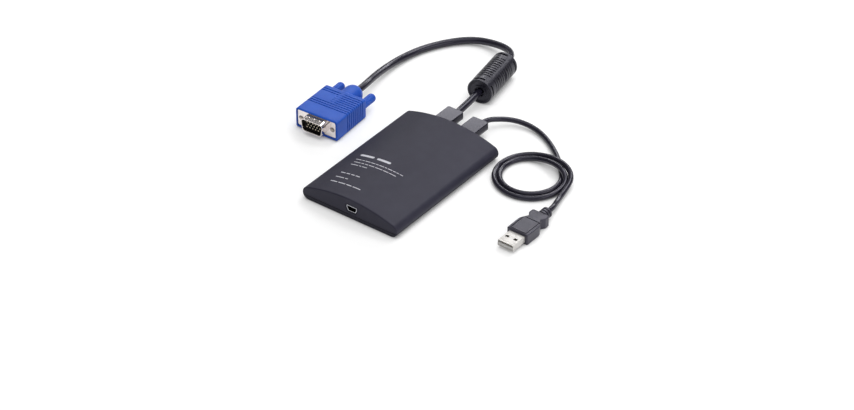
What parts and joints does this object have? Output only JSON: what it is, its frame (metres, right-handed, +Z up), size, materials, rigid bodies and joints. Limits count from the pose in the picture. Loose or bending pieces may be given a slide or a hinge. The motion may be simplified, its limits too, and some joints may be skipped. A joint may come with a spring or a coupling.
{
  "type": "crash cart adapter",
  "caption": "Slim arched case with a mini socket in front and captive leads behind: a video lead with a ferrite and a blue screw-on plug, and a thin looped lead with a flat plug.",
  "frame": {"origin": "centre of the case's underside", "axes": "+Y along the case from the socket end to the leads, +X across it, +Z up"},
  "size_m": [0.201, 0.2172, 0.0182],
  "materials": {
    "case_plastic": "fine matte texture",
    "screw_steel": "plain",
    "board": "solder mask",
    "chip_plastic": "matte",
    "can_metal": "satin",
    "header_plastic": "matte",
    "wire": "smooth",
    "port_metal": "satin nickel",
    "contact_plastic": "matte",
    "gold": "gold plated",
    "relief_rubber": "satin",
    "cord_jacket": "satin",
    "ferrite_plastic": "satin",
    "ferrite": "dull",
    "plug_blue": "satin",
    "plug_nickel": "satin nickel",
    "usb_moulding": "fine texture",
    "usb_steel": "bright",
    "usb_insulator": "matte"
  },
  "bodies": {
    "adapter": {"top_cover": "case_plastic", "bottom_cover": "case_plastic", "case_screws": "screw_steel", "main_board": "board", "video_chip": "chip_plastic", "memory_chip": "chip_plastic", "usb_chip": "chip_plastic", "crystal": "can_metal", "capacitors": "can_metal", "video_header": "header_plastic", "usb_header": "header_plastic", "video_wires": "wire", "usb_wires": "wire", "port_shell": "port_metal", "port_tongue": "contact_plastic", "video_plug_insulator": "contact_plastic", "port_contacts": "gold", "video_plug_pins": "gold", "usb_plug_contacts": "gold", "video_strain_relief": "relief_rubber", "usb_strain_relief": "relief_rubber", "video_cord": "cord_jacket", "usb_cord_lead": "cord_jacket", "usb_cord_coil": "cord_jacket", "usb_cord_tail": "cord_jacket", "ferrite_sleeve": "ferrite_plastic", "ferrite_core": "ferrite", "video_plug_body": "plug_blue", "video_plug_shell": "plug_nickel", "usb_plug_body": "usb_moulding", "usb_plug_shell": "usb_steel", "usb_plug_tongue": "usb_insulator"},
    "thumbscrew_left": {"thumbscrew_shank_left": "screw_steel", "thumbscrew_knob_left": "plug_blue"},
    "thumbscrew_right": {"thumbscrew_shank_right": "screw_steel", "thumbscrew_knob_right": "plug_blue"}
  },
  "joints": [
    {"name": "thumbscrew_left_turn", "type": "hinge", "parent": "adapter", "child": "thumbscrew_left", "pos_m": [-0.08778, 0.00602, 0.0081], "axis": [-0.0541, 0.9985, 0], "continuous": true},
    {"name": "thumbscrew_right_turn", "type": "hinge", "parent": "adapter", "child": "thumbscrew_right", "pos_m": [-0.06282, 0.00738, 0.0081], "axis": [-0.0541, 0.9985, 0], "continuous": true}
  ]
}
